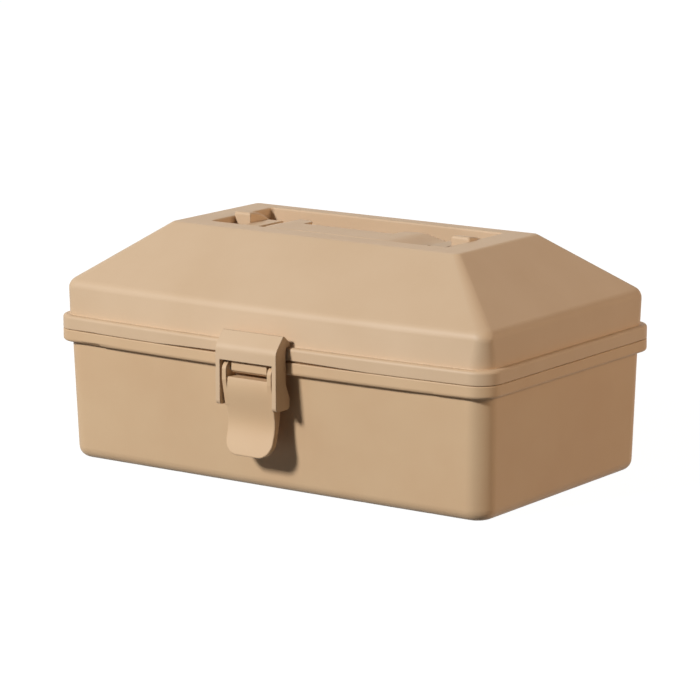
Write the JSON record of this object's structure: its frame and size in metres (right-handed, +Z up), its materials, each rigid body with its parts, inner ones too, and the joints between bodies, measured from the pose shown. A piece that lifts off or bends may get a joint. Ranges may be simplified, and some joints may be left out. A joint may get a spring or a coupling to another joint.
{
  "type": "sewing machine attachment box",
  "caption": "Moulded plastic carry box with a hipped lid, fold-flush carry handle, over-centre front latch, pinned rear hinges and a lift-out divided tray.",
  "frame": {"origin": "centre of the tub's base outline, on the surface that the box stands on", "axes": "+X along the box's length to the right, -Y towards the latch at the front, +Z up"},
  "size_m": [0.27, 0.1832, 0.127],
  "materials": {
    "beige_polypropylene": "fine matte texture, moulded",
    "tray_polypropylene": "fine matte, moulded",
    "pin_steel": "drawn wire, satin"
  },
  "bodies": {
    "tub": {"tub_body": "beige_polypropylene", "hinge_pin_left": "pin_steel", "hinge_pin_right": "pin_steel", "lever_pin_left": "pin_steel", "lever_pin_right": "pin_steel"},
    "lid": {"lid_shell": "beige_polypropylene", "handle_pin_left": "pin_steel", "handle_pin_right": "pin_steel"},
    "handle": {"carry_handle": "beige_polypropylene"},
    "lever": {"latch_lever": "beige_polypropylene"},
    "hood": {"latch_frame": "beige_polypropylene", "link_pin_left": "pin_steel", "link_pin_right": "pin_steel"},
    "tray": {"inner_tray": "tray_polypropylene", "tray_divider_front_left": "tray_polypropylene", "tray_divider_front_right": "tray_polypropylene", "tray_divider_back_left": "tray_polypropylene", "tray_divider_back_right": "tray_polypropylene"}
  },
  "joints": [
    {"name": "lid_hinge", "type": "hinge", "parent": "tub", "child": "lid", "pos_m": [0, 0.0843, 0.0696], "axis": [-1, 0, 0], "range_deg": [0, 105]},
    {"name": "handle_fold", "type": "hinge", "parent": "lid", "child": "handle", "pos_m": [0, 0.0052, 0.1152], "axis": [-1, 0, 0], "range_deg": [0, 90]},
    {"name": "lever_swing", "type": "hinge", "parent": "tub", "child": "lever", "pos_m": [0, -0.0885, 0.0641], "axis": [-1, 0, 0], "range_deg": [0, 110]},
    {"name": "hood_link", "type": "hinge", "parent": "lever", "child": "hood", "pos_m": [0, -0.0882, 0.0509], "axis": [1, 0, 0], "range_deg": [0, 137.5]},
    {"name": "tray_lift", "type": "slide", "parent": "tub", "child": "tray", "axis": [0, 0, 1], "range_m": [0, 0.03]}
  ],
  "couplings": [
    {"joint": "hood_link", "follows": "lever_swing", "ratio": 1.25}
  ]
}
